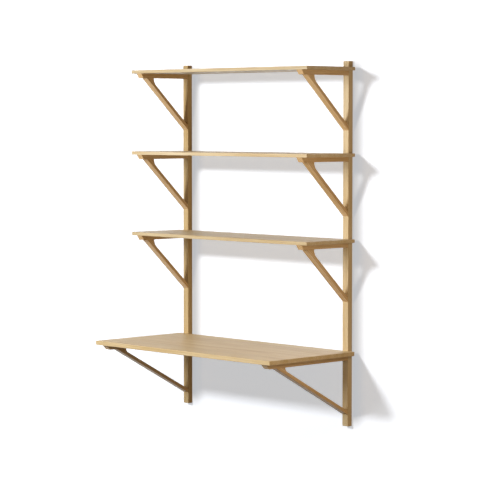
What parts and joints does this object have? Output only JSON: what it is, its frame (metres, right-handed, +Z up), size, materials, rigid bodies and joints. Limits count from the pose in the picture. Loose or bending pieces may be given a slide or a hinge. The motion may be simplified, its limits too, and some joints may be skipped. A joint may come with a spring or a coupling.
{
  "type": "wall shelf with desk",
  "caption": "Wall-hung oak shelves with a deeper desk board below, carried by slim uprights and diagonal strut brackets.",
  "frame": {"origin": "on the wall plane, at the centre of the four outer wall screw holes", "axes": "+X to the right along the wall, +Y into the wall, +Z up; the boards stand out towards -Y"},
  "size_m": [1.2, 0.571, 1.691],
  "materials": {
    "oak_uprights": "planed oak with a clear satin varnish",
    "oak_boards": "edge-glued oak boards with a clear satin varnish",
    "oak_brackets": "sanded oak with a clear satin varnish",
    "zinc_screws": "zinc-plated"
  },
  "bodies": {
    "root": {"left_upright": "oak_uprights", "right_upright": "oak_uprights", "top_shelf": "oak_boards", "middle_shelf": "oak_boards", "lower_shelf": "oak_boards", "desk_board": "oak_boards", "top_left_arm": "oak_brackets", "top_right_arm": "oak_brackets", "middle_left_arm": "oak_brackets", "middle_right_arm": "oak_brackets", "lower_left_arm": "oak_brackets", "lower_right_arm": "oak_brackets", "desk_left_arm": "oak_brackets", "desk_right_arm": "oak_brackets", "top_left_strut": "oak_brackets", "top_right_strut": "oak_brackets", "middle_left_strut": "oak_brackets", "middle_right_strut": "oak_brackets", "lower_left_strut": "oak_brackets", "lower_right_strut": "oak_brackets", "desk_left_strut": "oak_brackets", "desk_right_strut": "oak_brackets", "board_screws": "zinc_screws"}
  },
  "joints": []
}
